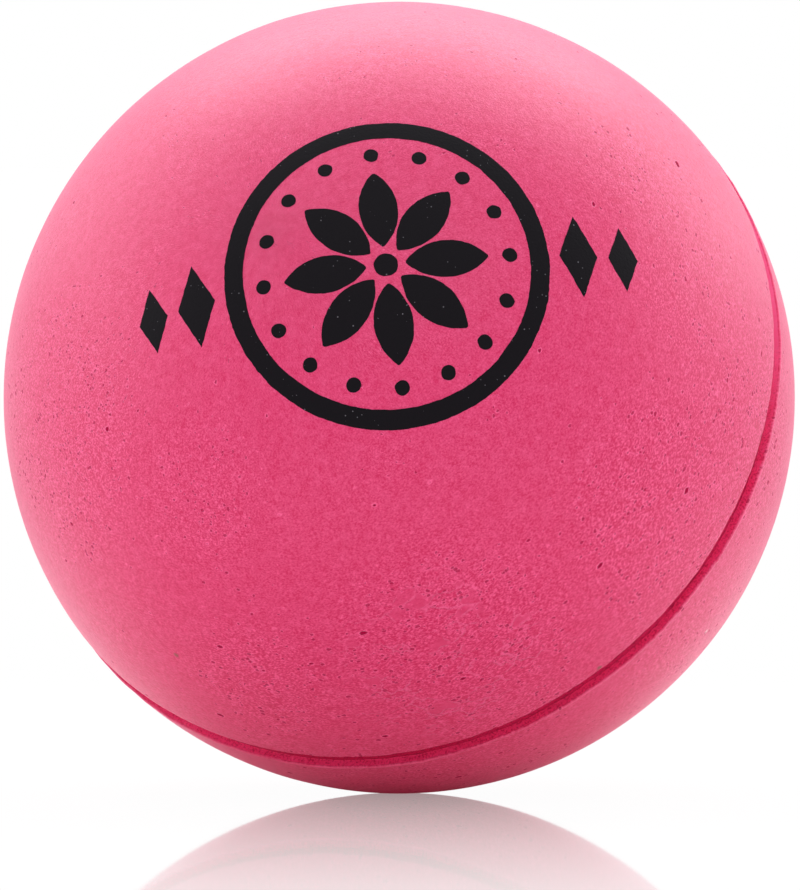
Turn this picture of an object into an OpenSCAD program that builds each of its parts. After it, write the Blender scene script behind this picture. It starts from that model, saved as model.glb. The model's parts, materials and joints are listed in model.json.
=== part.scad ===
// Hollow pink rubber bouncing ball.
// Two moulded half shells are cemented rim to rim, with an open groove round the seam,
// and a black ornament is printed on one half.
// Origin at the ball's centre, +Z up, the front of the ball faces -Y. Millimetres and degrees.

/* [Ball] */
// Outside diameter of the ball
ball_d = 60; // [52:0.5:80]
// Thickness of the rubber wall
wall = 3.6; // [2.6:0.1:6]

/* [Seam] */
// Width of the open groove round the seam
groove_w = 1.7; // [1:0.1:2.2]
// Depth of the groove, from the ball's surface down to the cement
groove_depth = 0.65; // [0.3:0.05:0.9]
// Thickness of the cement between the two flat rims
cement_t = 0.3; // [0.1:0.05:0.5]
// Depth of the bevel on the outer edge of each rim, which the cement fills
bevel_depth = 0.8; // [0.3:0.1:1.2]
// Radius of the bead of cement squeezed out inside the ball
bead_r = 0.9; // [0.5:0.1:1.5]
// Radius of the printed half's edge along the groove
edge_r = 0.12; // [0.05:0.01:0.3]
// Radius of the moulding flash along the plain half's edge
flash_r = 0.12; // [0.05:0.01:0.25]
// Height of the moulding flash above the ball's surface
flash_h = 0.06; // [0:0.01:0.1]

/* [Stance] */
// Lean of the printed half's pole from upright
pole_lean = 64; // [0:1:90]
// Turn of that lean from the front towards the left
pole_turn = 21; // [-90:1:90]

/* [Print] */
// Height of the print's centre above the ball's waist, in degrees
print_lift = 21; // [0:1:40]
// Turn of the print's centre from the front towards the left
print_turn = 2; // [-20:1:40]
// Turn of the whole print about its own centre
print_spin = 8; // [-45:1:45]
// Thickness of the ink film
ink_t = 0.05; // [0.03:0.01:0.1]

/* [Rosette] */
// Number of petals
petal_count = 8; // [5:1:9]
// Radius of the circle that the petals start from
petal_root_r = 1.4; // [1.2:0.1:2]
// Radius of the circle that the petals reach to
petal_tip_r = 7.6; // [5:0.1:8]
// Width of a petal at its middle
petal_w = 2.9; // [1.5:0.1:3]
// Radius of the dot at the centre
eye_r = 0.9; // [0.4:0.1:1]

/* [Ring of dots] */
// Number of dots
dot_count = 16; // [8:1:30]
// Radius of a dot
dot_r = 0.55; // [0.3:0.05:0.6]
// Clear space between the petals' tips and the dots
dot_gap = 1.0; // [0.4:0.1:2]

/* [Ring] */
// Clear space between the dots and the ring
ring_gap = 0.9; // [0.4:0.1:2]
// Width of the ring's line
ring_w = 1.4; // [0.6:0.1:2]

/* [Diamonds] */
// Number of diamonds on each side of the ring
diamond_count = 2; // [1:1:3]
// Width of the diamond next to the ring
diamond_w = 2.8; // [1.5:0.1:3.5]
// Height of the diamond next to the ring
diamond_h = 6.4; // [3:0.1:8]
// Size of each further diamond, as a share of the one before it
diamond_taper = 0.78; // [0.5:0.01:1]
// Clear space beside each diamond
diamond_gap = 0.8; // [0.4:0.1:1.5]

/* [Hidden] */
$fn = 96;

ball_r = ball_d / 2;
inner_r = ball_r - wall;
groove_floor_r = ball_r - groove_depth;
bevel_root_r = groove_floor_r - bevel_depth;
// Room past a face for a cut that has to clear it
past = 1;

dot_ring_r = petal_tip_r + dot_gap + dot_r;
ring_in_r = dot_ring_r + dot_r + ring_gap;
ring_out_r = ring_in_r + ring_w;

// Each petal is where two equal circles overlap: the circles' radius, and how far each
// centre lies from the petal's own line
petal_l = petal_tip_r - petal_root_r;
petal_arc_r = (petal_l * petal_l + petal_w * petal_w) / (4 * petal_w);
petal_arc_off = petal_arc_r - petal_w / 2;

function diamond_scale(i) = pow(diamond_taper, i);
// Distance from the print's centre to the inner corner of the diamond of this number
function diamond_start(i) =
    i == 0 ? ring_out_r + diamond_gap
           : diamond_start(i - 1) + diamond_w * diamond_scale(i - 1) + diamond_gap;
// Centre of the small arc that rounds a rim's edge: it touches the groove's wall,
// and stands this far out of the ball's surface
function edge_centre(r, stand) =
    let (z = groove_w / 2 + r, reach = ball_r + stand - r)
    [sqrt(reach * reach - z * z), z];

// Turns the seam's own frame, where its pole is +Z, to the way the ball stands
module stand() rotate([pole_lean, 0, -pole_turn]) children();

// Turns the print's own frame, drawn flat and facing +Z, to its place on the ball
module at_print()
    rotate([90 - print_lift, 0, -print_turn]) rotate([0, 0, print_spin]) children();

// Section of the space between the rims: flat web, bevels on both sides, open groove
module seam_space()
    polygon([
        [0, -cement_t / 2], [bevel_root_r, -cement_t / 2],
        [groove_floor_r, -groove_w / 2], [ball_r + past, -groove_w / 2],
        [ball_r + past, groove_w / 2], [groove_floor_r, groove_w / 2],
        [bevel_root_r, cement_t / 2], [0, cement_t / 2]
    ]);

// Section of a half shell above the seam's plane, with its rim's edge rounded
module half_section(r, stand) {
    centre = edge_centre(r, stand);
    outward = centre / norm(centre);
    difference() {
        intersection() {
            circle(ball_r);
            square(ball_r + past);
        }
        circle(inner_r);
        seam_space();
        polygon([
            centre, [centre[0], groove_w / 2], [ball_r + past, groove_w / 2],
            centre + outward * (r + past)
        ]);
    }
    translate(centre) circle(r);
}

// Section of the cement: web and bevels between the rims, joined to a bead on the inner wall
module cement_section() {
    intersection() {
        seam_space();
        translate([inner_r - bead_r / 2, -groove_w])
            square([wall - groove_depth + bead_r / 2, 2 * groove_w]);
    }
    intersection() {
        translate([inner_r, 0]) circle(bead_r);
        circle(inner_r);
    }
}

module printed_half_shell()
    color("hotpink") stand() rotate_extrude() half_section(edge_r, 0);

module plain_half_shell()
    color("hotpink") stand() mirror([0, 0, 1]) rotate_extrude() half_section(flash_r, flash_h);

module seam_cement()
    color("crimson") stand() rotate_extrude() cement_section();

// Film of ink on the ball in the shape of a flat drawing
module inked()
    color([0.04, 0.04, 0.05])
        intersection() {
            difference() {
                sphere(ball_r + ink_t);
                sphere(ball_r);
            }
            at_print() linear_extrude(ball_r + past) children();
        }

module petal()
    translate([(petal_root_r + petal_tip_r) / 2, 0])
        intersection() {
            translate([0, petal_arc_off]) circle(petal_arc_r);
            translate([0, -petal_arc_off]) circle(petal_arc_r);
        }

module print_rosette()
    inked() {
        circle(eye_r);
        for (i = [0 : petal_count - 1])
            rotate(90 + i * 360 / petal_count) petal();
    }

module print_dots()
    inked()
        for (i = [0 : dot_count - 1])
            rotate(90 + i * 360 / dot_count) translate([dot_ring_r, 0]) circle(dot_r);

module print_ring()
    inked()
        difference() {
            circle(ring_out_r);
            circle(ring_in_r);
        }

module diamond(w, h)
    polygon([[0, 0], [w / 2, -h / 2], [w, 0], [w / 2, h / 2]]);

module print_diamonds()
    inked()
        for (side = [0, 180], i = [0 : diamond_count - 1])
            rotate(side) translate([diamond_start(i), 0])
                diamond(diamond_w * diamond_scale(i), diamond_h * diamond_scale(i));

printed_half_shell();
plain_half_shell();
seam_cement();
print_rosette();
print_dots();
print_ring();
print_diamonds();
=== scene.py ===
"""A hollow pink rubber ball: two moulded halves, the cement in the groove between them, a black print."""

import json
import math

import bmesh
import bpy
import numpy as np
from mathutils import Matrix, Vector


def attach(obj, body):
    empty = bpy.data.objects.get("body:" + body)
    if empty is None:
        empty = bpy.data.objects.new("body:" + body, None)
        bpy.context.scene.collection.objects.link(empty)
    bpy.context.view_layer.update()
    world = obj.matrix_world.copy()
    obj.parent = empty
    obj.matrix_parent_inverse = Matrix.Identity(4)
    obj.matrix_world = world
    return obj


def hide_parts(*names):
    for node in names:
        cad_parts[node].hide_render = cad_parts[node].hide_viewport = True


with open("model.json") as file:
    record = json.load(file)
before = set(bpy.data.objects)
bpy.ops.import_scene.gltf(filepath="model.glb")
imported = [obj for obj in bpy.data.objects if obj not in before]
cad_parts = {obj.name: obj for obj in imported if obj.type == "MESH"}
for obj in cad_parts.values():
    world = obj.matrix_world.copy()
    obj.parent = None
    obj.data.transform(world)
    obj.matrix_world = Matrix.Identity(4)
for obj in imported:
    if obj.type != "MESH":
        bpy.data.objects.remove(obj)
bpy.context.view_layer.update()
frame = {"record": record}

MM = 0.001

# Sizes that the solids have too, in millimetres
FLOOR_REST = next(m for m in frame["record"]["mounts"] if m["name"] == "floor_rest")
BALL_R = -FLOOR_REST["pos_m"][2] / MM
WALL = 3.6
GROOVE_W = 1.7
GROOVE_DEPTH = 0.65
CEMENT_T = 0.3
BEVEL_DEPTH = 0.8
BEAD_R = 0.9
EDGE_R = 0.12
FLASH_R = 0.12
FLASH_H = 0.06
INNER_R = BALL_R - WALL
BEVEL_ROOT_R = BALL_R - GROOVE_DEPTH - BEVEL_DEPTH

# The way the ball and its print are turned, in degrees
POLE_LEAN = 64
POLE_TURN = 21
PRINT_LIFT = 21
PRINT_TURN = 2
PRINT_SPIN = 8

# The ornament, in millimetres from the print's centre
PETALS = 8
PETAL_ROOT_R = 1.4
PETAL_TIP_R = 7.6
PETAL_W = 2.9
EYE_R = 0.9
DOTS = 16
DOT_R = 0.55
DOT_GAP = 1.0
DOT_RING_R = PETAL_TIP_R + DOT_GAP + DOT_R
RING_GAP = 0.9
RING_W = 1.4
RING_IN_R = DOT_RING_R + DOT_R + RING_GAP
RING_OUT_R = RING_IN_R + RING_W
DIAMONDS = 2
DIAMOND_W = 2.8
DIAMOND_H = 6.4
DIAMOND_TAPER = 0.78
DIAMOND_GAP = 0.8

# How finely the halves are cut: steps across a half's cap, and steps round its rim
CAP_STEPS = 224
RIM_STEPS = 8 * CAP_STEPS
INNER_CAP_STEPS = CAP_STEPS // 4
CEMENT_STEPS_ACROSS = 14


def turned(axis, degrees):
    return np.array(Matrix.Rotation(math.radians(degrees), 3, axis))


STANCE = turned("Z", -POLE_TURN) @ turned("X", POLE_LEAN)
PRINT_PLACE = turned("Z", -PRINT_TURN) @ turned("X", 90 - PRINT_LIFT) @ turned("Z", PRINT_SPIN)


# Large odd numbers that scramble a cell's place and its seed into one number
CELL_FACTORS = (0x9E3779B1, 0x85EBCA77, 0xC2B2AE3D)
SEED_FACTOR = 0x27D4EB2F
SCRAMBLES = ((15, 0x2C1B3C6D), (12, 0x297A2D39), (15, 1))


def scattered(cells, seed):
    """A number from 0 to 1 for each cell of a lattice, with no pattern."""
    n = np.uint32(seed * SEED_FACTOR % 2**32)
    for k, factor in enumerate(CELL_FACTORS):
        n = n ^ cells[..., k].astype(np.int64).astype(np.uint32) * np.uint32(factor)
    for shift, factor in SCRAMBLES:
        n = (n ^ (n >> np.uint32(shift))) * np.uint32(factor)
    return n / 2.0**32


def lumps(points, size, seed):
    """Smooth unevenness from -1 to 1, with lumps of about this size."""
    place = points / size
    corner = np.floor(place)
    share = place - corner
    share = share * share * (3 - 2 * share)
    total = 0
    for offset in np.ndindex(2, 2, 2):
        weight = np.prod(np.where(offset, share, 1 - share), axis=-1)
        total = total + weight * scattered(corner + offset, seed)
    return 2 * total - 1


# Points of a mesh closer than this, in metres, are the same point
JOIN_DISTANCE = 1e-7
SHARP_ANGLE = math.radians(50)
# The name under which a mesh keeps where a highlight is painted on its lip
LIP = "lip"


class Skin:
    """The points and faces of one closed mesh in millimetres, and each point's place on a paint chart."""

    def __init__(self):
        self.points = []
        self.chart = []
        self.lip = []
        self.faces = []
        self.count = 0

    def add(self, points, chart=None, lip=0.0):
        """Adds points and gives their numbers, arranged alike. lip is 1 on an edge's painted highlight."""
        flat = points.reshape(-1, 3)
        numbers = np.arange(self.count, self.count + len(flat)).reshape(points.shape[:-1])
        self.points.append(flat)
        self.lip.append(np.broadcast_to(lip, points.shape[:-1]).ravel())
        self.count += len(flat)
        if chart is not None:
            self.chart.append(chart.reshape(-1, 2))
        return numbers

    def grid(self, numbers):
        """Joins the points of a grid into four-sided faces."""
        corners = (numbers[:-1, :-1], numbers[1:, :-1], numbers[1:, 1:], numbers[:-1, 1:])
        self.faces += np.stack(corners, -1).reshape(-1, 4).tolist()

    def tube(self, rings):
        """Joins closed rings of equally many points, one to the next."""
        rings = np.asarray(rings)
        self.grid(np.concatenate((rings, rings[:, :1]), axis=1))

    def halve(self, fine, coarse):
        """Joins a closed ring to one of half as many points."""
        start, middle, end = fine[0::2], fine[1::2], np.roll(fine, -2)[0::2]
        following = np.roll(coarse, -1)
        for corners in ((coarse, start, middle), (coarse, middle, following), (following, middle, end)):
            self.faces += np.stack(corners, -1).tolist()

    def made(self, name, place, finish, slot, node):
        """The finished object, turned to its place on the ball, in place of its solid."""
        mesh = bpy.data.meshes.new(name)
        points = np.concatenate(self.points) @ place.T * MM
        mesh.from_pydata(points, [], self.faces)
        if self.chart:
            corners = np.empty(len(mesh.loops), np.int32)
            mesh.loops.foreach_get("vertex_index", corners)
            paint = mesh.uv_layers.new(name="OFBake")
            paint.uv.foreach_set("vector", np.concatenate(self.chart)[corners].astype(np.float32).ravel())
        # Where a highlight is painted on the lip, for the material to read
        lip = mesh.attributes.new(LIP, "FLOAT", "POINT")
        lip.data.foreach_set("value", np.concatenate(self.lip).astype(np.float32))
        shape = bmesh.new()
        shape.from_mesh(mesh)
        bmesh.ops.remove_doubles(shape, verts=shape.verts, dist=JOIN_DISTANCE)
        bmesh.ops.recalc_face_normals(shape, faces=shape.faces)
        shape.to_mesh(mesh)
        shape.free()
        mesh.shade_smooth()
        mesh.set_sharp_from_angle(angle=SHARP_ANGLE)
        mesh.materials.append(finish)
        piece = bpy.data.objects.new(name, mesh)
        bpy.context.scene.collection.objects.link(piece)
        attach(piece, "root")
        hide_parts(node)
        return piece


# Slow unevenness of the moulded skin: how wide its lumps are, and how deep, in millimetres
SKIN_LUMPS = ((9.0, 0.030), (3.2, 0.010), (1.3, 0.005))


def hollows(points):
    """How far the skin lies below the true ball at these points, in the way that the ball stands."""
    depth = 0
    for seed, (size, height) in enumerate(SKIN_LUMPS):
        depth = depth + height * (1 + lumps(points, size, seed))
    return depth


def settled(points, place):
    """Points on the true ball, let down onto the moulded skin."""
    away = points / np.linalg.norm(points, axis=-1, keepdims=True)
    return points - away * hollows(points @ place.T)[..., None]


def rim_angles(steps):
    return np.linspace(0, 2 * np.pi, steps, endpoint=False)


def ring_points(radius, height, angles):
    radius, height = (np.broadcast_to(v, angles.shape) for v in (radius, height))
    return np.stack((radius * np.cos(angles), radius * np.sin(angles), height), -1)


def disc_grid(steps):
    """A square grid drawn into a round one: how far out each point is, from 0 to 1, and its angle."""
    a, b = np.meshgrid(np.linspace(-1, 1, steps + 1), np.linspace(-1, 1, steps + 1), indexing="ij")
    wide = np.abs(a) > np.abs(b)
    out = np.where(wide, a, b)
    safe = np.where(out == 0, 1, out)
    angle = np.where(wide, np.pi / 4 * b / safe, np.pi / 2 - np.pi / 4 * a / safe)
    angle = np.where(out < 0, angle + np.pi, angle) % (2 * np.pi)
    return np.abs(out), angle


# Angles that agree to this many digits are the same
ANGLE_DIGITS = 9


def border(numbers, angles):
    """The outer points of a disc grid in order round the rim."""
    edge = np.ones(numbers.shape, bool)
    edge[1:-1, 1:-1] = False
    turn = angles[edge].round(ANGLE_DIGITS) % round(2 * np.pi, ANGLE_DIGITS)
    return numbers[edge][np.argsort(turn)]


# Where a half's outer and inner faces lie on its square paint chart: the middle and the radius of each disc
OUTER_CHART = (0.45, 0.445)
INNER_CHART = (0.925, 0.07)


def charted(points, chart):
    """Points of a half, laid flat on a disc of the chart by their distance from the pole along the skin."""
    middle, radius = chart
    outer = chart is OUTER_CHART
    away = np.linalg.norm(points, axis=-1)
    lean = np.arccos(np.clip(points[..., 2] / away, -1, 1))
    if outer:
        reach = BALL_R * lean + BALL_R - away
        full = BALL_R * np.pi / 2 + BALL_R - BEVEL_ROOT_R
    else:
        reach = INNER_R * lean + away - INNER_R
        full = INNER_R * np.pi / 2 + BEVEL_ROOT_R - INNER_R
    angle = np.arctan2(points[..., 1], points[..., 0])
    return middle + (radius * reach / full)[..., None] * np.stack((np.cos(angle), np.sin(angle)), -1)


def cap(skin, radius, rim_height, steps, chart, place=None):
    """A dome down to a rim at this height. Gives the rim's points in order."""
    out, angle = disc_grid(steps)
    lean = out * math.acos(rim_height / radius)
    points = ring_points(radius * np.sin(lean), radius * np.cos(lean), angle)
    flat = charted(points, chart)
    numbers = skin.add(points if place is None else settled(points, place), flat)
    skin.grid(numbers)
    return border(numbers, angle)


# The torn and trimmed edges along the groove: how long the waves are, and how far they go
EDGE_WAVES = ((9.0, 0.09), (3.0, 0.06), (1.1, 0.05), (0.4, 0.035))
NICK_LENGTH = 0.7
NICK_DEPTH = 0.5
NICK_RARITY = 0.72
TEAR_SIZE = 0.35
TEAR_DEPTH = 0.05
# Sets the tears apart from the waves of the edge above them
TEAR_SHIFT = 10
# How the height of the lip comes and goes along the edge, and its most, as a share of the edge's radius
LIP_WAVES = ((1.1, 0.5), (3.0, 0.5))
LIP_MOST = 0.9
# What each kind of unevenness adds to a rim's seed
NICK_SEED = 7
LIP_SEED = 8
TEAR_SEED = 11

# The seeds of the two rims
PRINTED_SEED = 100
PLAIN_SEED = 200

# How far each half's edge lies from the seam's plane. The printed half was trimmed askew: its edge
# comes closest at one angle round the seam, and goes no farther off than its limit
PLAIN_EDGE = 0.75
PRINTED_EDGE = 1.21
PRINTED_EDGE_SKEW = 0.51
PRINTED_EDGE_LIMIT = 1.30
PRINTED_EDGE_CLOSEST = math.radians(-16)


class Rim:
    """The edge of one half along the groove: how far it wanders, and how far it stands out."""

    def __init__(self, seed, distance, edge_r, stand):
        self.angles = rim_angles(RIM_STEPS)
        self.seed = seed
        self.line = ring_points(BALL_R, 0, self.angles)
        wander = 0
        for i, (length, height) in enumerate(EDGE_WAVES):
            wander = wander + height * lumps(self.line, length, seed + i)
        nicks = np.clip(lumps(self.line, NICK_LENGTH, seed + NICK_SEED) - NICK_RARITY, 0, 1)
        self.edge = distance + wander + NICK_DEPTH * nicks
        self.edge_r = edge_r
        waviness = 1
        for i, (length, share) in enumerate(LIP_WAVES):
            waviness = waviness + share * lumps(self.line, length, seed + LIP_SEED + i)
        self.stand = np.minimum(stand * waviness, LIP_MOST * edge_r)
        # How strongly the lip's highlight is painted
        self.lip = self.stand / edge_r

    def wall(self, depth):
        """Height of the groove's wall above the seam's plane, at this depth below the ball's surface."""
        torn = lumps(self.line + [0, 0, TEAR_SHIFT + depth], TEAR_SIZE, self.seed + TEAR_SEED)
        return self.edge + TEAR_DEPTH * torn * min(1, depth / GROOVE_DEPTH)


# Heights above the groove's edge of the rings that lead from the cap down to it
BAND_HEIGHTS = (1.9, 1.4, 1.0, 0.7, 0.48, 0.34)
CAP_HEIGHT = 2.5
# How far up the skin the rings follow the edge's wandering
EDGE_REACH = 1.2
EDGE_ARC_STEPS = 6
WALL_STEPS = 6
# How strongly a highlight is painted on the lip where it stands out by the edge's whole radius
LIP_HIGHLIGHT_SHARE = 1.1


def half_shell(name, rim, side, finish, node):
    """One moulded half. side is 1 for the half on the pole's side, and -1 for the other."""
    flip = np.array([1, 1, side])
    place = STANCE * flip
    skin = Skin()
    coarse = cap(skin, BALL_R, GROOVE_W / 2 + CAP_HEIGHT, CAP_STEPS, OUTER_CHART, place)
    rings = []
    lips = []
    for height in BAND_HEIGHTS:
        z = GROOVE_W / 2 + height + (rim.edge - GROOVE_W / 2) * math.exp(-height / EDGE_REACH)
        rings.append(settled(ring_points(np.sqrt(BALL_R**2 - z**2), z, rim.angles), place))
        lips.append(0.0)
    z = rim.edge + rim.edge_r
    reach = BALL_R + rim.stand - rim.edge_r
    start = -np.arccos(1 - rim.stand / rim.edge_r)
    for share in np.linspace(0, 1, EDGE_ARC_STEPS):
        bend = start + (np.pi / 2 - start) * share
        r = np.sqrt(reach**2 - z**2) + rim.edge_r * np.cos(bend)
        rings.append(settled(ring_points(r, z - rim.edge_r * np.sin(bend), rim.angles), place))
        lips.append(rim.lip * LIP_HIGHLIGHT_SHARE * math.sin(math.pi * share))
    for depth in np.linspace(rim.edge_r, GROOVE_DEPTH, WALL_STEPS + 1)[1:]:
        rings.append(ring_points(BALL_R - depth, rim.wall(depth), rim.angles))
        lips.append(0.0)
    bevel_root = ring_points(BEVEL_ROOT_R, CEMENT_T / 2, rim.angles)
    rings.append(bevel_root)
    lips.append(0.0)
    numbers = [skin.add(ring, charted(ring, OUTER_CHART), lip) for ring, lip in zip(rings, lips)]
    skin.halve(numbers[0], coarse)
    skin.tube(numbers)
    height = CEMENT_T / 2
    steps = RIM_STEPS
    land = (bevel_root, ring_points(math.sqrt(INNER_R**2 - height**2), height, rim.angles))
    numbers = [skin.add(ring, charted(ring, INNER_CHART)) for ring in land]
    skin.tube(numbers)
    inner = numbers[-1]
    while steps > 8 * INNER_CAP_STEPS:
        steps //= 2
        height += 2 * np.pi * INNER_R / steps
        ring = ring_points(math.sqrt(INNER_R**2 - height**2), height, rim_angles(steps))
        numbers = skin.add(ring, charted(ring, INNER_CHART))
        skin.halve(inner, numbers)
        inner = numbers
    height += 4 * np.pi * INNER_R / steps
    skin.halve(inner, cap(skin, INNER_R, height, INNER_CAP_STEPS, INNER_CHART))
    return skin.made(name, place, finish, "pink_rubber", node)


# The cement's surface in the groove: how far it falls towards the printed half, and how wide and high its
# lumps are
GROOVE_TILT = 0.12
GROOVE_LUMPS = ((1.2, 0.035), (0.35, 0.030), (0.16, 0.012))
GROOVE_SEED = 40
# The part of its width, on each side, over which its lumps die away
GROOVE_MARGIN = 0.25
BEAD_STEPS = 9
# Radii on the cement's paint chart, a flat ring: both sides of the floor, and the hidden faces inside it
CEMENT_CHART = (0.49, 0.36, 0.08)


def seam_band(name, printed_rim, plain_rim, finish, node):
    """The ring of cement: a rough floor in the groove, a web between the rims and a bead inside."""
    skin = Skin()
    angles = printed_rim.angles
    top = printed_rim.wall(GROOVE_DEPTH)
    bottom = -plain_rim.wall(GROOVE_DEPTH)
    rings = []
    for share in np.linspace(0, 1, CEMENT_STEPS_ACROSS + 1):
        z = bottom + (top - bottom) * share
        r = BALL_R - GROOVE_DEPTH
        even = ring_points(r, z, angles)
        rough = sum(h * lumps(even, size, GROOVE_SEED + i) for i, (size, h) in enumerate(GROOVE_LUMPS))
        inside = min(1, share / GROOVE_MARGIN, (1 - share) / GROOVE_MARGIN)
        rings.append(ring_points(r + inside * (rough - GROOVE_TILT * (share - 0.5)), z, angles))
    rings.append(ring_points(BEVEL_ROOT_R, CEMENT_T / 2, angles))
    bead_start = math.asin(CEMENT_T / 2 / BEAD_R)
    for bend in np.linspace(bead_start, 2 * np.pi - bead_start, BEAD_STEPS):
        z = BEAD_R * math.sin(bend)
        r = min(INNER_R + BEAD_R * math.cos(bend), math.sqrt(INNER_R**2 - z**2))
        rings.append(ring_points(r, z, angles))
    rings.append(ring_points(BEVEL_ROOT_R, -CEMENT_T / 2, angles))
    rings.append(rings[0])
    spread = np.stack((np.cos(angles), np.sin(angles)), -1)
    levels = np.interp(np.arange(len(rings)), (0, CEMENT_STEPS_ACROSS, len(rings) - 1), CEMENT_CHART)
    skin.tube([skin.add(ring, 0.5 + level * spread) for ring, level in zip(rings, levels)])
    return skin.made(name, STANCE, finish, "seam_rubber", node)


# The ink films: how finely they are cut, and how far they stand above the skin and reach below it
INK_STEP = 0.14
LEAST_INK_STEPS = 6
INK_STAND = 0.015
INK_SINK = 0.015
# The ink's edge: how long its waves are and how far they go
INK_WAVES = ((0.9, 0.022), (0.3, 0.030))
INK_SEED = 60
# Sets the waves across the drawing apart from those along it
INK_SHIFT = 50
# How far a petal reaches each way from its middle before its tip is cut blunt, as a share of its length
PETAL_REACH = 0.49


def on_ball(drawing, lift):
    """Flat points of the drawing, laid on the ball's skin and lifted off it."""
    ragged = np.concatenate((drawing, np.zeros(drawing.shape[:-1] + (1,))), -1)
    for i, (size, height) in enumerate(INK_WAVES):
        for axis in range(2):
            place = drawing @ np.eye(2, 3) + [0, 0, axis * INK_SHIFT]
            ragged[..., axis] += height * lumps(place, size, INK_SEED + i)
    ragged[..., 2] = np.sqrt(BALL_R**2 - (ragged[..., :2] ** 2).sum(-1))
    laid = settled(ragged, PRINT_PLACE)
    return laid * (1 + lift / BALL_R)


def film(skin, drawing, closed=False):
    """A film of ink over a grid of drawn points. A closed one joins its last row to its first."""
    top = skin.add(on_ball(drawing, INK_STAND))
    under = skin.add(on_ball(drawing, -INK_SINK))
    if closed:
        top, under = (np.concatenate((n, n[:1])) for n in (top, under))
        loops = [(top[:, side], under[:, side]) for side in (0, -1)]
    else:
        loops = [(outline(top), outline(under))]
    skin.grid(top)
    skin.grid(under)
    for upper, lower in loops:
        skin.grid(np.stack((upper, lower)))


def outline(numbers):
    """The border of a grid, once round and back to its start."""
    sides = (numbers[0, :-1], numbers[:-1, -1], numbers[-1, :0:-1], numbers[:0:-1, 0], numbers[:1, 0])
    return np.concatenate(sides)


def steps_for(length):
    return max(LEAST_INK_STEPS, round(length / INK_STEP))


def spun(drawing, degrees):
    return drawing @ turned("Z", degrees)[:2, :2].T


def dot(radius):
    out, angle = disc_grid(steps_for(radius * np.pi / 2) // 2 * 2)
    return radius * out[..., None] * np.stack((np.cos(angle), np.sin(angle)), -1)


def petal():
    """A leaf shape along +X, between two arcs, with blunt tips."""
    length = PETAL_TIP_R - PETAL_ROOT_R
    arc_r = (length**2 + PETAL_W**2) / (4 * PETAL_W)
    x = np.linspace(-PETAL_REACH, PETAL_REACH, steps_for(length)) * length
    half = np.sqrt(arc_r**2 - x**2) - arc_r + PETAL_W / 2
    across = np.linspace(-1, 1, steps_for(PETAL_W))
    x_grid = np.broadcast_to(x[:, None] + (PETAL_ROOT_R + PETAL_TIP_R) / 2, (len(x), len(across)))
    return np.stack((x_grid, half[:, None] * across), -1)


def hoop():
    angles = rim_angles(steps_for(2 * np.pi * RING_OUT_R))
    radii = np.linspace(RING_IN_R, RING_OUT_R, steps_for(RING_W))
    return radii[None, :, None] * np.stack((np.cos(angles), np.sin(angles)), -1)[:, None]


def diamond(width, height):
    """A diamond with its inner corner at the origin."""
    across, up = np.array([width / 2, height / 2]), np.array([width / 2, -height / 2])
    share = np.linspace(0, 1, steps_for(np.linalg.norm(across)))
    return share[:, None, None] * across + share[None, :, None] * up


def print_rosette(finish):
    skin = Skin()
    film(skin, dot(EYE_R))
    for i in range(PETALS):
        film(skin, spun(petal(), 90 + i * 360 / PETALS))
    return skin.made("ink_rosette", PRINT_PLACE, finish, "black_ink", "print_rosette")


def print_dots(finish):
    skin = Skin()
    for i in range(DOTS):
        film(skin, spun(dot(DOT_R) + [DOT_RING_R, 0], 90 + i * 360 / DOTS))
    return skin.made("ink_dots", PRINT_PLACE, finish, "black_ink", "print_dots")


def print_ring(finish):
    skin = Skin()
    film(skin, hoop(), closed=True)
    return skin.made("ink_ring", PRINT_PLACE, finish, "black_ink", "print_ring")


def print_diamonds(finish):
    skin = Skin()
    start = RING_OUT_R + DIAMOND_GAP
    size = 1.0
    for _ in range(DIAMONDS):
        for side in (0, 180):
            film(skin, spun(diamond(DIAMOND_W * size, DIAMOND_H * size) + [start, 0], side))
        start += DIAMOND_W * size + DIAMOND_GAP
        size *= DIAMOND_TAPER
    return skin.made("ink_diamonds", PRINT_PLACE, finish, "black_ink", "print_diamonds")


class Wire:
    """One output of a finish's nodes. Arithmetic on it adds Math nodes."""

    def __init__(self, finish, socket):
        self.finish = finish
        self.socket = socket

    def output(self, name):
        """Another output of the same node."""
        return Wire(self.finish, self.socket.node.outputs[name])

    def math(self, operation, *values):
        return self.finish.node("ShaderNodeMath", {"operation": operation}, dict(enumerate(values)))

    def __add__(self, other):
        return self.math("ADD", self, other)

    def __sub__(self, other):
        return self.math("SUBTRACT", self, other)

    def __rsub__(self, other):
        return self.math("SUBTRACT", other, self)

    def __mul__(self, other):
        return self.math("MULTIPLY", self, other)

    def __gt__(self, other):
        return self.math("GREATER_THAN", self, other)

    def __or__(self, other):
        return self.math("MAXIMUM", self, other)

    def arcsine(self):
        return self.math("ARCSINE", self)

    __radd__ = __add__
    __rmul__ = __mul__


# Past a spot's own radius, which goes by chance: where the spot starts to fade, where it ends, and where
# the rim round it ends, as shares of the largest radius
SPOT_FADE = 0.1
SPOT_END = 0.6
SPOT_RIM_END = 1.3
# The part of a patch's reach over which it has its full effect
PATCH_FULL = 0.35


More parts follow.
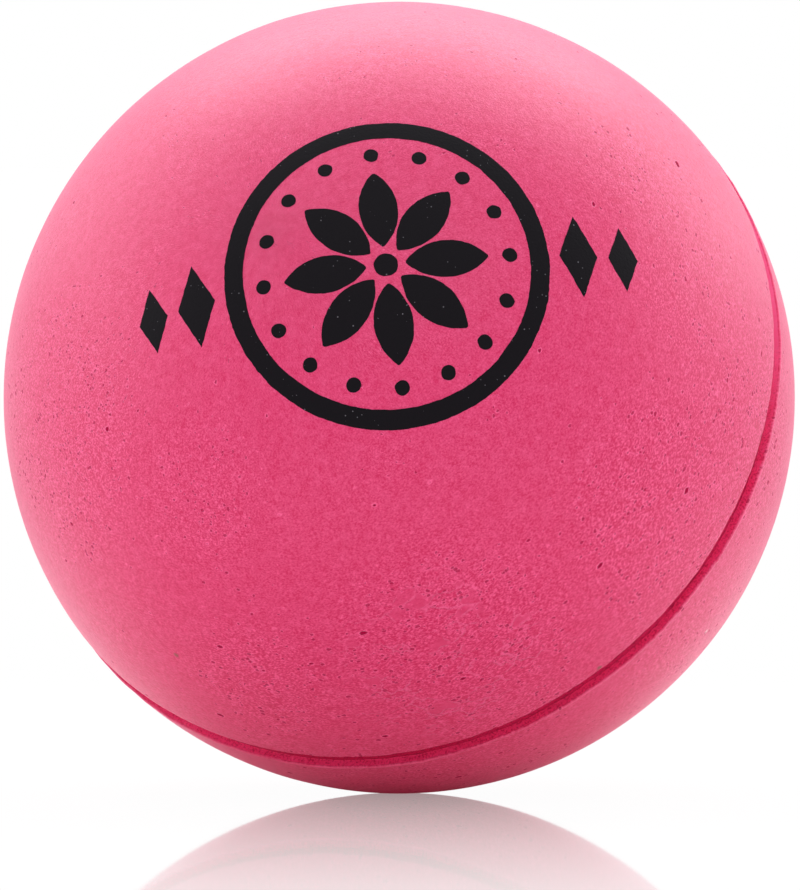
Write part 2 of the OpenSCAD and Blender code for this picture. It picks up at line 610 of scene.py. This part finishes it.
class Finish:
    """The nodes of a material or of the room, and the one method that adds a node to them."""

    def __init__(self, owner):
        owner.use_nodes = True
        self.owner = owner
        self.tree = owner.node_tree
        self.tree.nodes.clear()

    def node(self, kind, settings=None, sockets=None, output=0):
        made = self.tree.nodes.new(kind)
        for name, value in (settings or {}).items():
            setattr(made, name, value)
        for key, value in (sockets or {}).items():
            if isinstance(value, Wire):
                self.tree.links.new(value.socket, made.inputs[key])
            else:
                made.inputs[key].default_value = value
        return Wire(self, made.outputs[output]) if made.outputs else None

    def vector(self, operation, sockets, output=0):
        return self.node("ShaderNodeVectorMath", {"operation": operation}, sockets, output)

    def place(self):
        """The point being shaded, in millimetres from the ball's centre."""
        spot = self.node("ShaderNodeTexCoord", output="Object")
        return self.vector("SCALE", {0: spot, "Scale": 1 / MM})

    def cloud(self, place, size, detail=2.0, roughness=0.5):
        """Soft noise from 0 to 1, with features of about this many millimetres."""
        sockets = {"Vector": place, "Scale": 1 / size, "Detail": detail, "Roughness": roughness}
        return self.node("ShaderNodeTexNoise", {}, sockets)

    def cells(self, place, size, feature="F1"):
        """Distance to the middle, or the border, of the nearest of many cells of about this size."""
        return self.node("ShaderNodeTexVoronoi", {"feature": feature}, {"Vector": place, "Scale": 1 / size})

    def step(self, value, low, high, way="SMOOTHSTEP"):
        """0 below low and 1 above high. The way between them is smooth, or LINEAR."""
        sockets = {"Value": value, "From Min": low, "From Max": high}
        return self.node("ShaderNodeMapRange", {"interpolation_type": way}, sockets)

    def mixed(self, share, first, second):
        return self.node("ShaderNodeMix", {"data_type": "RGBA"}, {0: share, 6: first, 7: second}, output=2)

    def red(self, colour):
        return self.node("ShaderNodeSeparateColor", {}, {0: colour}, "Red")

    def rays(self):
        """Where the camera itself sees this, and where it is seen, also in something shiny or clear."""
        by_camera = self.node("ShaderNodeLightPath", output="Is Camera Ray")
        seen = by_camera | by_camera.output("Is Glossy Ray") | by_camera.output("Is Transmission Ray")
        return by_camera, seen

    def raised(self, height):
        """A normal that follows this height in millimetres."""
        return self.node("ShaderNodeBump", {}, {"Strength": 1.0, "Distance": MM, "Height": height})

    def coat(self, surface):
        """The finished material, with this surface."""
        self.node("ShaderNodeOutputMaterial", {}, {"Surface": surface})
        return self.owner

    def ruffled(self, place, size, reach):
        """The same point moved by up to this far, so that what is drawn on it has uneven edges."""
        shake = self.cloud(place, size, 1.0).output("Color")
        shift = self.vector("MULTIPLY_ADD", {0: shake, 1: (2 * reach,) * 3, 2: (-reach,) * 3})
        return self.vector("ADD", {0: place, 1: shift})

    def along_seam(self, place, stretch):
        """The same point with the way round the ball shortened, so that marks lie along the seam."""
        upright = Matrix(STANCE.T).to_euler()
        level = self.node("ShaderNodeMapping", {}, {"Vector": place, "Rotation": upright})
        height = self.node("ShaderNodeSeparateXYZ", {}, {0: level}, "Z")
        flat = self.vector("MULTIPLY", {0: level, 1: (1, 1, 0)})
        outward = self.vector("NORMALIZE", {0: flat})
        way_round = self.vector("SCALE", {0: outward, "Scale": BALL_R / stretch})
        rise = (height * (1 / BALL_R)).arcsine() * BALL_R
        return self.vector("ADD", {0: way_round, 1: self.node("ShaderNodeCombineXYZ", {}, {"Z": rise})})

    def spots(self, place, size, radius, share):
        """Spots, one to a cell of this size in this share of the cells, and the rims round them."""
        cells = self.cells(place, size)
        chance = self.red(cells.output("Color"))
        spread = cells * size - chance.output("Green") * radius
        there = chance > 1 - share
        outside = self.step(spread, radius * SPOT_FADE, radius * SPOT_END)
        rim = outside * (1 - self.step(spread, radius * SPOT_END, radius * SPOT_RIM_END))
        return (1 - outside) * there, rim * there

    def painted_lighter(self, place, colour):
        """The groove's colour, painted paler towards its upper right end, as painted light."""
        return self.mixed(self.near(place, PALE_GROOVE_END, PALE_GROOVE_REACH), colour, GROOVE_PAINTED_LIGHT)

    def near(self, place, centre, reach):
        """1 close to this point, falling to 0 at this distance from it."""
        away = self.vector("DISTANCE", {0: place, 1: centre}, "Value")
        return 1 - self.step(away, reach * PATCH_FULL, reach)


PALE_PINK = (0.90, 0.110, 0.290, 1)
DEEP_PINK = (0.66, 0.009, 0.106, 1)
# The dark red painted into the pits as painted shade
PIT_SHADE_RED = (0.34, 0.002, 0.042, 1)
RAW_RED = (0.95, 0.050, 0.220, 1)
RAW_DARK = (0.62, 0.010, 0.090, 1)
# A highlight painted pale on the crest of the plain half's lip
LIP_HIGHLIGHT_PINK = (0.97, 0.16, 0.33, 1)
CHIP_PALE = (0.90, 0.62, 0.66, 1)
FLECK_BROWN = (0.24, 0.075, 0.030, 1)
BLOOM = (1.0, 0.55, 0.72, 1)
# The skin's usual shade, as a share of the way from deep to pale
USUAL_SHADE = 0.32

# How wide the marks on the rubber are, and how high or deep, in millimetres
GRAIN_SIZE = 0.12
GRAIN_HEIGHT = 0.030
MOTTLE_SIZE = 0.65
MOTTLE_HEIGHT = 0.030
PIT_CELL = 0.32
PIT_R = 0.095
PIT_DEPTH = 0.035
DEEP_CELL = 1.3
DEEP_R = 0.130
DEEP_DEPTH = 0.060
RIDGE_HEIGHT = 0.060
# How many times longer the marks are along the seam than across it
GRAIN_STRETCH = 2.0
PIT_STRETCH = 1.6
FLAKE_STRETCH = 1.7
# Contrast of the grain, what a pitted patch adds to it, and contrast of the mottling
GRAIN_CONTRAST = 1.7
PITTED_CONTRAST = 3.2
MOTTLE_CONTRAST = 0.7
# How much paler the rims of pits and the ridges of flakes are painted, as painted highlights
PIT_RIM_HIGHLIGHT = 0.55
DEEP_RIM_HIGHLIGHT = 0.7
RIDGE_HIGHLIGHT = 0.75
# How much of the skin's colour a mark covers: painted shade in small and deep pits, flecks and the chip
PIT_COVER = 0.58
DEEP_COVER = 0.9
MARK_COVER = 0.8
# Shares of the cells that hold a deep pit: on plain skin, and what a full patch adds
DEEP_SHARE = 0.05
DEEP_PATCH_SHARE = 0.5
# Pits scattered over the whole skin, as a share of a full patch, and how wide their drifts are
SCATTER_SHARE = 0.40
SCATTER_SIZE = 6.0
# The share of the flakes that are not smooth
ROUGH_FLAKES = 0.80
# Depths below the ball's surface between which the skin gives way to the raw rubber of the groove's wall
SKIN_ENDS = 0.11
RAW_STARTS = 0.20

# Where the skin is pitted: a point in millimetres, how far the patch reaches, and how full of pits it is
PITTED_PATCHES = (
    ((-25.6, -15.5, -1.7), 13.0, 0.95),
    ((-15.1, -24.9, -6.2), 8.0, 0.45),
    ((22.8, -18.0, 7.4), 9.0, 0.50),
    ((20.1, -21.1, -7.0), 12.0, 0.80),
    ((26.6, -13.8, -1.7), 11.0, 0.85),
    ((7.6, -17.8, -22.9), 8.0, 0.75),
    ((4.6, -23.3, -18.3), 13.0, 0.70),
    ((18.2, -16.4, 17.3), 7.0, 0.50),
    ((-9.8, -19.5, -20.6), 8.0, 0.80),
    ((22.0, -9.0, -18.3), 10.0, 0.65),
    ((3.0, -9.0, -28.5), 14.0, 0.45),
)
# Where the skin flaked in the mould, and how wide its flakes are
FLAKED_MIDDLE = (4.0, -23.0, -18.8)
FLAKED_REACH = 12.0
FLAKE_SIZE = 1.25
# Single marks: two brown flecks and a pale chip, each within this far of its point
FLECKS = ((-16.6, -16.7, -18.6), (14.9, -17.2, -19.5))
CHIP = (23.1, -8.3, -17.3)
MARK_REACH = 0.30
# The torn fibres in the groove: how wide they are, and which of them are pale and which dark
FIBRE_SIZE = 0.16
FIBRE_PALE = 0.45
FIBRE_DARK = 0.70
# Where the groove is painted pale, as painted light over its shade, at its upper right end
GROOVE_PAINTED_LIGHT = (0.92, 0.180, 0.390, 1)
PALE_GROOVE_END = (25.4, 0.0, 16.5)
PALE_GROOVE_REACH = 26.0


def pink_rubber():
    """Matte moulded rubber: grain and pits drawn out along the seam, flaky patches and a powdery bloom."""
    f = Finish(bpy.data.materials.new("matte_pink_rubber"))
    place = f.place()
    uneven = f.ruffled(place, size=0.25, reach=0.08)
    drawn_out = f.along_seam(uneven, GRAIN_STRETCH)
    grain = f.cloud(drawn_out, GRAIN_SIZE, detail=2.0, roughness=0.6)
    mottle = f.cloud(place, MOTTLE_SIZE, detail=2.0, roughness=0.6)
    pitted = f.step(f.cloud(place, SCATTER_SIZE, detail=1.0), low=0.50, high=0.80) * SCATTER_SHARE
    for centre, reach, fullness in PITTED_PATCHES:
        pitted = pitted | f.near(place, centre, reach) * fullness
    clustered = pitted * f.step(f.cloud(place, size=1.7, detail=1.0), low=0.40, high=0.62)
    pits, pit_rims = f.spots(f.along_seam(uneven, PIT_STRETCH), PIT_CELL, PIT_R, clustered)
    deep_share = DEEP_SHARE + clustered * DEEP_PATCH_SHARE
    deep, deep_rims = f.spots(drawn_out, DEEP_CELL, DEEP_R, deep_share)
    flecks = f.near(uneven, FLECKS[0], MARK_REACH) | f.near(uneven, FLECKS[1], MARK_REACH)
    chip = f.near(uneven, CHIP, MARK_REACH)
    flaked = f.near(place, FLAKED_MIDDLE, FLAKED_REACH)
    flaked = flaked * f.step(f.cloud(place, size=2.6, detail=1.0), low=0.42, high=0.60)
    flake_place = f.along_seam(f.ruffled(place, size=0.8, reach=0.45), FLAKE_STRETCH)
    to_border = f.cells(flake_place, FLAKE_SIZE, "DISTANCE_TO_EDGE") * FLAKE_SIZE
    ridges = 1 - f.step(to_border, low=0.01, high=0.09)
    ridges = ridges * flaked * f.step(mottle, low=0.30, high=0.60)
    smooth = (f.red(f.cells(flake_place, FLAKE_SIZE).output("Color")) > ROUGH_FLAKES) * flaked
    contrast = (GRAIN_CONTRAST + PITTED_CONTRAST * pitted) * (1 - smooth)
    # Painted highlights: the rims of pits and the ridges of flakes are painted paler
    rim_highlights = pit_rims * PIT_RIM_HIGHLIGHT | deep_rims * DEEP_RIM_HIGHLIGHT | ridges * RIDGE_HIGHLIGHT
    shade = USUAL_SHADE + (grain - 0.5) * contrast + (0.5 - mottle) * MOTTLE_CONTRAST + rim_highlights
    colour = f.mixed(shade, DEEP_PINK, PALE_PINK)
    colour = f.mixed(flecks * MARK_COVER, colour, FLECK_BROWN)
    colour = f.mixed(chip * MARK_COVER, colour, CHIP_PALE)
    # Painted highlight on the lip's crest
    lip = f.node("ShaderNodeAttribute", {"attribute_name": LIP}, output="Fac")
    colour = f.mixed(lip, colour, LIP_HIGHLIGHT_PINK)
    sunk = BALL_R - f.vector("LENGTH", {0: place}, "Value")
    wall = f.step(sunk, SKIN_ENDS, RAW_STARTS)
    fibre = f.cloud(place, FIBRE_SIZE, detail=2.0, roughness=0.6)
    raw = f.mixed(f.step(fibre, FIBRE_PALE, FIBRE_DARK), RAW_RED, RAW_DARK)
    height = grain * GRAIN_HEIGHT + mottle * MOTTLE_HEIGHT + ridges * RIDGE_HEIGHT
    height = height - pits * PIT_DEPTH - deep * DEEP_DEPTH
    skin = f.node("ShaderNodeBsdfPrincipled", {}, {
        # The groove's walls are painted paler towards the upper right end, as painted light
        "Base Color": f.mixed(wall, colour, f.painted_lighter(place, raw)),
        "Roughness": 0.40,
        "Specular IOR Level": 0.38,
        "Sheen Weight": 0.20,
        "Sheen Roughness": 0.50,
        "Sheen Tint": BLOOM,
        "Normal": f.raised(height),
    })
    # Painted shade in the pits: they are mixed towards a dark, dull red
    pit_shading = (pits * PIT_COVER | deep * DEEP_COVER) * (1 - wall)
    pit_shade = f.node("ShaderNodeBsdfPrincipled", {}, {
        "Base Color": PIT_SHADE_RED,
        "Roughness": 0.9,
        "Specular IOR Level": 0.0,
    })
    return f.coat(f.node("ShaderNodeMixShader", {}, {0: pit_shading, 1: skin, 2: pit_shade}))


# The cement's red and dark: partly its own colour, partly painted shade on the groove's floor
SEAM_RED = (0.60, 0.014, 0.095, 1)
SEAM_DARK = (0.20, 0.003, 0.026, 1)
FIBRE_COVER = 0.8
FIBRE_HEIGHT = 0.04
BLOTCH_SIZE = 0.8
BLOTCH_COVER = 0.4


def seam_rubber():
    """Raw cement and torn rubber in the groove: redder than the skin, with no bloom."""
    f = Finish(bpy.data.materials.new("raw_seam_rubber"))
    place = f.place()
    fibre = f.cloud(place, FIBRE_SIZE, detail=3.0, roughness=0.65)
    blotch = f.cloud(place, BLOTCH_SIZE)
    # The dark fibres and blotches are partly painted shade on the groove's floor
    colour = f.mixed(f.step(fibre, FIBRE_PALE, FIBRE_DARK) * FIBRE_COVER, SEAM_RED, SEAM_DARK)
    colour = f.mixed(f.step(blotch, low=0.5, high=0.8) * BLOTCH_COVER, colour, SEAM_DARK)
    return f.coat(f.node("ShaderNodeBsdfPrincipled", {}, {
        "Base Color": f.painted_lighter(place, colour),
        "Roughness": 0.7,
        "Specular IOR Level": 0.15,
        "Normal": f.raised(fibre * FIBRE_HEIGHT),
    }))


INK_BLACK = (0.0060, 0.0050, 0.0070, 1)
INK_GREY = (0.16, 0.16, 0.18, 1)
INK_GRAIN_SIZE = 0.20
INK_GRAIN_HEIGHT = 0.025
SPECK_CELL = 0.30
SPECK_R = 0.040
# The share of the cells that hold a speck where specks are thickest, and how wide their drifts are
SPECK_SHARE = 0.5
SPECK_DRIFT = 1.6


def black_ink():
    """Printed ink: near black, with the rubber's grain under it and tiny bright specks."""
    f = Finish(bpy.data.materials.new("printed_black_ink"))
    place = f.place()
    grain = f.cloud(place, INK_GRAIN_SIZE, detail=2.0, roughness=0.6)
    drifts = f.step(f.cloud(place, SPECK_DRIFT), low=0.42, high=0.70)
    specks, _ = f.spots(place, SPECK_CELL, SPECK_R, drifts * SPECK_SHARE)
    return f.coat(f.node("ShaderNodeBsdfPrincipled", {}, {
        "Base Color": f.mixed(specks, INK_BLACK, INK_GREY),
        "Roughness": 0.60,
        "Specular IOR Level": 0.07,
        "Normal": f.raised(grain * INK_GRAIN_HEIGHT),
    }))


# The photographed frame: its size in pixels, and where the ball's outline lies in it
FRAME_W = 800
FRAME_H = 890
OUTLINE_X = 399.2
OUTLINE_Y = 397.7
OUTLINE_R = 396.4
# The camera's distance in metres, its height above the ball's waist in degrees, and the nearest it sees
CAMERA_AWAY = 0.90
CAMERA_LIFT = 2.0
CAMERA_NEAREST = 0.01


def camera():
    """A long lens, placed so that the ball's outline falls where it does in the photographed frame."""
    lens = bpy.data.cameras.new("camera")
    eye = bpy.data.objects.new("camera", lens)
    bpy.context.scene.collection.objects.link(eye)
    ball_r = BALL_R * MM
    pixel = math.tan(math.asin(ball_r / CAMERA_AWAY)) / OUTLINE_R
    lens.sensor_fit = "HORIZONTAL"
    lens.angle = 2 * math.atan(pixel * FRAME_W / 2)
    lens.clip_start = CAMERA_NEAREST
    lift = math.radians(CAMERA_LIFT)
    eye.location = Vector((0, -math.cos(lift), math.sin(lift))) * CAMERA_AWAY
    yaw = math.atan(pixel * (FRAME_W / 2 - OUTLINE_X))
    pitch = math.pi / 2 - lift - math.atan(pixel * (FRAME_H / 2 - OUTLINE_Y))
    eye.rotation_euler = (pitch, 0, -yaw)
    bpy.context.scene.camera = eye


WHITE = (1.0, 1.0, 1.0, 1)
FLOOR_SIZE = 6.0
# The light that the floor throws on the ball
FLOOR_GREY = (0.80, 0.72, 0.75, 1)
FLOOR_GLOW = (1.0, 0.35, 0.50, 1)
GLOW_STRENGTH = 0.11
# The polish that the camera sees: how strong it is under the ball and away from it, and how rough
GLOSS_NEAR = 0.70
GLOSS_FAR = 0.27
GLOSS_REACH = 0.10
GLOSS_ROUGHNESS = 0.03
# The ball's shadow: the share of it that the camera sees, how far it is full and how far it reaches
SHADOW_SHARE = 0.08
SHADOW_FULL = 0.04
SHADOW_REACH = 0.16


def floor():
    """A polished floor, white where it is seen, which throws a duller and pinker light on the ball."""
    half = FLOOR_SIZE / 2
    level = -BALL_R * MM
    mesh = bpy.data.meshes.new("floor")
    corners = [(-half, -half, level), (half, -half, level), (half, half, level), (-half, half, level)]
    mesh.from_pydata(corners, [], [(0, 1, 2, 3)])
    piece = bpy.data.objects.new("floor", mesh)
    bpy.context.scene.collection.objects.link(piece)
    f = Finish(bpy.data.materials.new("floor_white"))
    spot = f.node("ShaderNodeTexCoord", output="Object")
    away = f.vector("DISTANCE", {0: spot, 1: (0, 0, level)}, output="Value")
    by_camera, seen = f.rays()
    dull = f.node("ShaderNodeBsdfDiffuse", {}, {"Color": FLOOR_GREY})
    glow = f.node("ShaderNodeEmission", {}, {"Color": FLOOR_GLOW, "Strength": GLOW_STRENGTH})
    bounce = f.node("ShaderNodeAddShader", {}, {0: dull, 1: glow})
    lit = f.node("ShaderNodeBsdfDiffuse", {}, {"Color": WHITE})
    white = f.node("ShaderNodeEmission", {}, {"Color": WHITE})
    fading = 1 - f.step(away, SHADOW_FULL, SHADOW_REACH)
    shadow = fading * (1 - by_camera * (1 - SHADOW_SHARE))
    plain = f.node("ShaderNodeMixShader", {}, {0: shadow, 1: white, 2: lit})
    mirror = f.node("ShaderNodeBsdfGlossy", {}, {"Color": WHITE, "Roughness": GLOSS_ROUGHNESS})
    dimming = f.step(away, 0, GLOSS_REACH, "LINEAR")
    gloss = by_camera * (GLOSS_NEAR - (GLOSS_NEAR - GLOSS_FAR) * dimming)
    polished = f.node("ShaderNodeMixShader", {}, {0: gloss, 1: plain, 2: mirror})
    surface = f.node("ShaderNodeMixShader", {}, {0: seen, 1: bounce, 2: polished})
    mesh.materials.append(f.coat(surface))


# The strength of the even light that the room throws on the ball
AMBIENT = 0.42


def surroundings():
    """A room that is white where it is seen, and throws a plain even light on the ball."""
    f = Finish(bpy.data.worlds.new("room"))
    _, seen = f.rays()
    strength = AMBIENT + (1 - AMBIENT) * seen
    light = f.node("ShaderNodeBackground", {}, {"Color": WHITE, "Strength": strength})
    f.node("ShaderNodeOutputWorld", {}, {"Surface": light})
    bpy.context.scene.world = f.owner


# Soft boxes: name, where each stands in metres, its width and height, and its power in watts
SOFT_BOXES = (
    ("overhead", (0.0, 0.38, 0.56), 0.70, 0.60, 3.6),
    ("left_panel", (-0.65, 0.0, 0.10), 0.50, 0.60, 1.35),
    ("left_rim", (-0.46, 0.30, 0.42), 0.50, 0.60, 1.2),
    ("right_panel", (0.65, 0.0, 0.10), 0.50, 0.60, 0.85),
    ("right_rim", (0.46, 0.32, 0.40), 0.50, 0.60, 1.75),
    ("front", (0.0, -0.55, 0.55), 0.80, 0.50, 1.75),
)


def lights():
    for name, place, width, height, power in SOFT_BOXES:
        lamp = bpy.data.lights.new(name, "AREA")
        lamp.shape = "RECTANGLE"
        lamp.size = width
        lamp.size_y = height
        lamp.energy = power
        box = bpy.data.objects.new(name, lamp)
        bpy.context.scene.collection.objects.link(box)
        box.location = place
        box.rotation_euler = Vector(place).to_track_quat("Z", "Y").to_euler()


askew = PRINTED_EDGE - PRINTED_EDGE_SKEW * np.cos(rim_angles(RIM_STEPS) - PRINTED_EDGE_CLOSEST)
printed_rim = Rim(PRINTED_SEED, np.minimum(askew, PRINTED_EDGE_LIMIT), EDGE_R, stand=0.0)
plain_rim = Rim(PLAIN_SEED, PLAIN_EDGE, FLASH_R, FLASH_H)
rubber = pink_rubber()
ink = black_ink()
half_shell("printed_half", printed_rim, 1, rubber, "printed_half_shell")
half_shell("plain_half", plain_rim, -1, rubber, "plain_half_shell")
seam_band("seam_band", printed_rim, plain_rim, seam_rubber(), "seam_cement")
print_rosette(ink)
print_dots(ink)
print_ring(ink)
print_diamonds(ink)

camera()
floor()
surroundings()
lights()
bpy.context.scene.view_settings.view_transform = "Standard"
